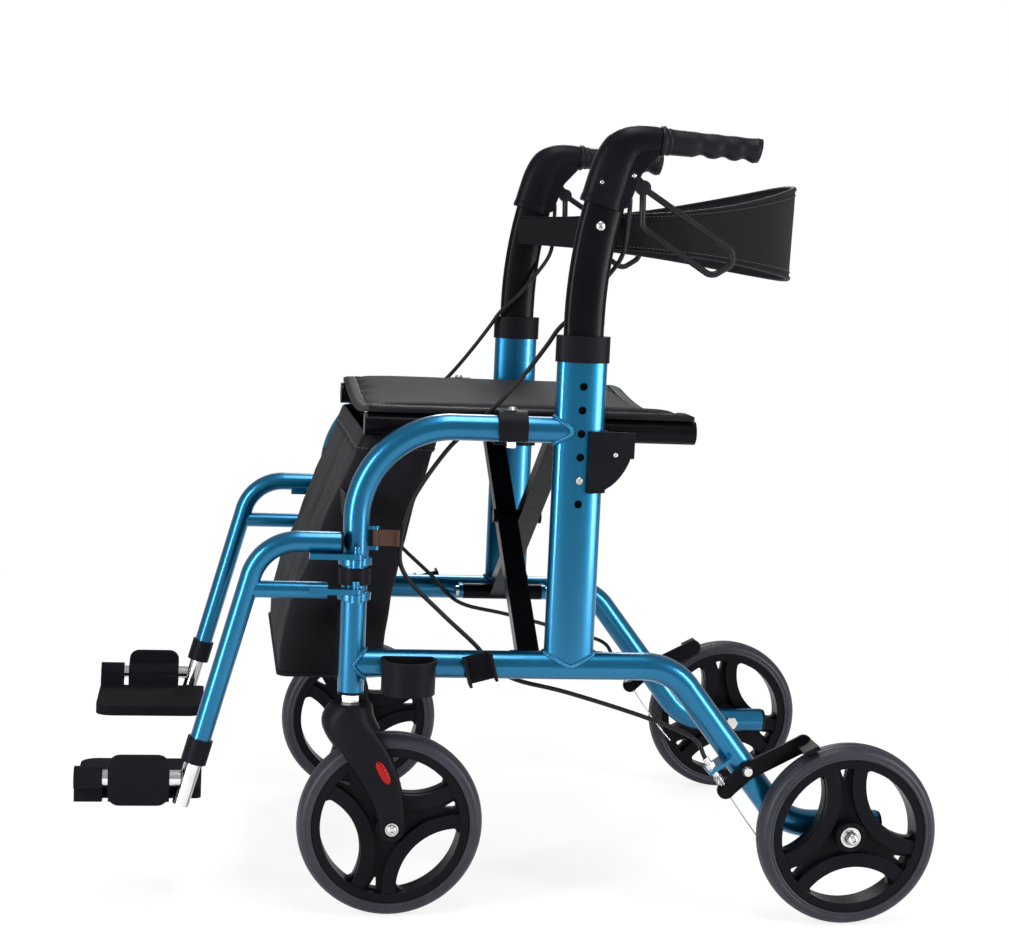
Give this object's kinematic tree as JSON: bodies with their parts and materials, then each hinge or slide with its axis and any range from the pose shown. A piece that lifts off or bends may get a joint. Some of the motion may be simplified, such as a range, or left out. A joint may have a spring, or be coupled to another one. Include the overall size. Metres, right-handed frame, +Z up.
{
  "type": "rollator transport chair",
  "caption": "Folding wheeled walking frame with a sling seat, back strap, hand brakes and swing-away footrests, used as a walker or pushed as a transport chair",
  "frame": {"origin": "on the floor, under the middle of the chair's box", "axes": "+Z up, -Y is the way a seated person faces, +X is that person's left"},
  "size_m": [0.6016, 0.928, 0.854],
  "materials": {
    "blue_paint": "metallic blue lacquer on aluminium tube",
    "black_paint": "black powder coat on aluminium",
    "black_plastic": "fine-textured moulded black",
    "rim_plastic": "moulded black wheel rim",
    "tyre_rubber": "soft black tyre",
    "grip_rubber": "soft black grip",
    "cable_sheath": "black cable sheath",
    "steel": "zinc-plated steel",
    "bright_steel": "chromed steel tube",
    "black_fabric": "woven black nylon"
  },
  "bodies": {
    "left_frame": {"left_upright": "blue_paint", "left_top_rail": "blue_paint", "left_base_rail": "blue_paint", "left_upright_collar": "black_plastic", "left_frame_plugs": "black_plastic", "left_seat_brackets": "black_plastic", "left_hanger_clip": "black_plastic", "left_frame_hardware": "steel", "left_brake_cable": "cable_sheath", "cane_cup": "black_plastic", "storage_bag": "black_fabric"},
    "right_frame": {"right_upright": "blue_paint", "right_top_rail": "blue_paint", "right_base_rail": "blue_paint", "right_upright_collar": "black_plastic", "right_frame_plugs": "black_plastic", "right_seat_brackets": "black_plastic", "right_hanger_clip": "black_plastic", "right_frame_hardware": "steel", "right_brake_cable": "cable_sheath"},
    "brace_a": {"brace_bar_a": "black_paint", "right_seat_rail": "black_paint"},
    "brace_b": {"brace_bar_b": "black_paint", "left_seat_rail": "black_paint", "seat_sling": "black_fabric"},
    "left_handle": {"left_handle_tube": "black_paint", "left_handle_housing": "black_plastic", "left_grip": "grip_rubber", "back_strap": "black_fabric"},
    "left_button": {"left_height_button": "steel"},
    "left_lever": {"left_brake_lever": "black_plastic"},
    "left_brake": {"left_brake_arm": "black_paint"},
    "left_rear_wheel": {"left_rear_tyre": "tyre_rubber", "left_rear_rim": "rim_plastic"},
    "left_caster": {"left_caster_fork": "black_plastic", "left_caster_axle": "steel"},
    "left_caster_wheel": {"left_caster_tyre": "tyre_rubber", "left_caster_rim": "rim_plastic"},
    "left_footrest": {"left_hanger": "blue_paint", "left_hanger_collar": "black_plastic"},
    "left_foot_slide": {"left_foot_tube": "bright_steel"},
    "left_plate": {"left_footplate": "black_plastic"},
    "left_release": {"left_release_lever": "black_plastic"},
    "right_handle": {"right_handle_tube": "black_paint", "right_handle_housing": "black_plastic", "right_grip": "grip_rubber"},
    "right_button": {"right_height_button": "steel"},
    "right_lever": {"right_brake_lever": "black_plastic"},
    "right_brake": {"right_brake_arm": "black_paint"},
    "right_rear_wheel": {"right_rear_tyre": "tyre_rubber", "right_rear_rim": "rim_plastic"},
    "right_caster": {"right_caster_fork": "black_plastic", "right_caster_axle": "steel"},
    "right_caster_wheel": {"right_caster_tyre": "tyre_rubber", "right_caster_rim": "rim_plastic"},
    "right_footrest": {"right_hanger": "blue_paint", "right_hanger_collar": "black_plastic"},
    "right_foot_slide": {"right_foot_tube": "bright_steel"},
    "right_plate": {"right_footplate": "black_plastic"},
    "right_release": {"right_release_lever": "black_plastic"}
  },
  "joints": [
    {"name": "fold", "type": "hinge", "parent": "left_frame", "child": "brace_a", "pos_m": [0.211, 0.046, 0.274], "axis": [0, 1, 0], "range_deg": [0, 37], "deforming": ["seat_sling", "back_strap", "storage_bag"]},
    {"name": "fold_cross", "type": "hinge", "parent": "brace_a", "child": "brace_b", "pos_m": [0, 0.028, 0.40182], "axis": [0, 1, 0], "range_deg": [-74, 0]},
    {"name": "fold_right", "type": "hinge", "parent": "brace_b", "child": "right_frame", "pos_m": [-0.211, 0.046, 0.274], "axis": [0, 1, 0], "range_deg": [0, 37]},
    {"name": "left_handle_height", "type": "slide", "parent": "left_frame", "child": "left_handle", "axis": [0, 0, 1], "range_m": [-0.025, 0.1], "deforming": ["left_brake_cable", "left_height_button"]},
    {"name": "left_button_press", "type": "slide", "parent": "left_handle", "child": "left_button", "axis": [-1, 0, 0], "range_m": [0, 0.005], "stiffness_N_per_m": 800, "springref_m": -0.002},
    {"name": "left_lever_pull", "type": "hinge", "parent": "left_handle", "child": "left_lever", "pos_m": [0.24, 0.0974, 0.7987], "axis": [1, 0, 0], "range_deg": [0, 22]},
    {"name": "left_brake_turn", "type": "hinge", "parent": "left_frame", "child": "left_brake", "pos_m": [0.2555, 0.25472, 0.163], "axis": [1, 0, 0], "range_deg": [-1.2, 0]},
    {"name": "left_rear_roll", "type": "hinge", "parent": "left_frame", "child": "left_rear_wheel", "pos_m": [0.276, 0.364, 0.1], "axis": [1, 0, 0], "continuous": true},
    {"name": "left_caster_swivel", "type": "hinge", "parent": "left_frame", "child": "left_caster", "pos_m": [0.24, -0.179, 0.232], "axis": [0, 0, 1], "continuous": true},
    {"name": "left_caster_roll", "type": "hinge", "parent": "left_caster", "child": "left_caster_wheel", "pos_m": [0.24, -0.132, 0.1], "axis": [1, 0, 0], "continuous": true},
    {"name": "left_footrest_swing", "type": "hinge", "parent": "left_frame", "child": "left_footrest", "pos_m": [0.262, -0.179, 0.37], "axis": [0, 0, 1], "range_deg": [0, 180]},
    {"name": "left_foot_length", "type": "slide", "parent": "left_footrest", "child": "left_foot_slide", "axis": [0, -0.2622, -0.965], "range_m": [0, 0.06]},
    {"name": "left_plate_flip", "type": "hinge", "parent": "left_foot_slide", "child": "left_plate", "pos_m": [0.255, -0.4, 0.152], "axis": [0, 1, 0], "range_deg": [0, 90]},
    {"name": "left_release_pull", "type": "hinge", "parent": "left_frame", "child": "left_release", "pos_m": [0.24, -0.159, 0.4085], "axis": [0, 0, -1], "range_deg": [0, 20], "stiffness_Nm_per_rad": 0.15, "springref_deg": -5.73},
    {"name": "right_handle_height", "type": "slide", "parent": "right_frame", "child": "right_handle", "axis": [0, 0, 1], "range_m": [-0.025, 0.1], "deforming": ["right_brake_cable", "right_height_button"]},
    {"name": "right_button_press", "type": "slide", "parent": "right_handle", "child": "right_button", "axis": [1, 0, 0], "range_m": [0, 0.005], "stiffness_N_per_m": 800, "springref_m": -0.002},
    {"name": "right_lever_pull", "type": "hinge", "parent": "right_handle", "child": "right_lever", "pos_m": [-0.24, 0.0974, 0.7987], "axis": [1, 0, 0], "range_deg": [0, 22]},
    {"name": "right_brake_turn", "type": "hinge", "parent": "right_frame", "child": "right_brake", "pos_m": [-0.2555, 0.25472, 0.163], "axis": [1, 0, 0], "range_deg": [-1.2, 0]},
    {"name": "right_rear_roll", "type": "hinge", "parent": "right_frame", "child": "right_rear_wheel", "pos_m": [-0.276, 0.364, 0.1], "axis": [1, 0, 0], "continuous": true},
    {"name": "right_caster_swivel", "type": "hinge", "parent": "right_frame", "child": "right_caster", "pos_m": [-0.24, -0.179, 0.232], "axis": [0, 0, 1], "continuous": true},
    {"name": "right_caster_roll", "type": "hinge", "parent": "right_caster", "child": "right_caster_wheel", "pos_m": [-0.24, -0.132, 0.1], "axis": [1, 0, 0], "continuous": true},
    {"name": "right_footrest_swing", "type": "hinge", "parent": "right_frame", "child": "right_footrest", "pos_m": [-0.262, -0.179, 0.37], "axis": [0, 0, -1], "range_deg": [0, 180]},
    {"name": "right_foot_length", "type": "slide", "parent": "right_footrest", "child": "right_foot_slide", "axis": [0, -0.2622, -0.965], "range_m": [0, 0.06]},
    {"name": "right_plate_flip", "type": "hinge", "parent": "right_foot_slide", "child": "right_plate", "pos_m": [-0.255, -0.4, 0.152], "axis": [0, -1, 0], "range_deg": [0, 90]},
    {"name": "right_release_pull", "type": "hinge", "parent": "right_frame", "child": "right_release", "pos_m": [-0.24, -0.159, 0.4085], "axis": [0, 0, 1], "range_deg": [0, 20], "stiffness_Nm_per_rad": 0.15, "springref_deg": -5.73}
  ],
  "couplings": [
    {"joint": "fold_cross", "follows": "fold", "ratio": -2},
    {"joint": "fold_right", "follows": "fold", "ratio": 1},
    {"joint": "left_brake_turn", "follows": "left_lever_pull", "ratio": -0.0545},
    {"joint": "right_brake_turn", "follows": "right_lever_pull", "ratio": -0.0545},
    {"joint": "right_handle_height", "follows": "left_handle_height", "ratio": 1}
  ]
}
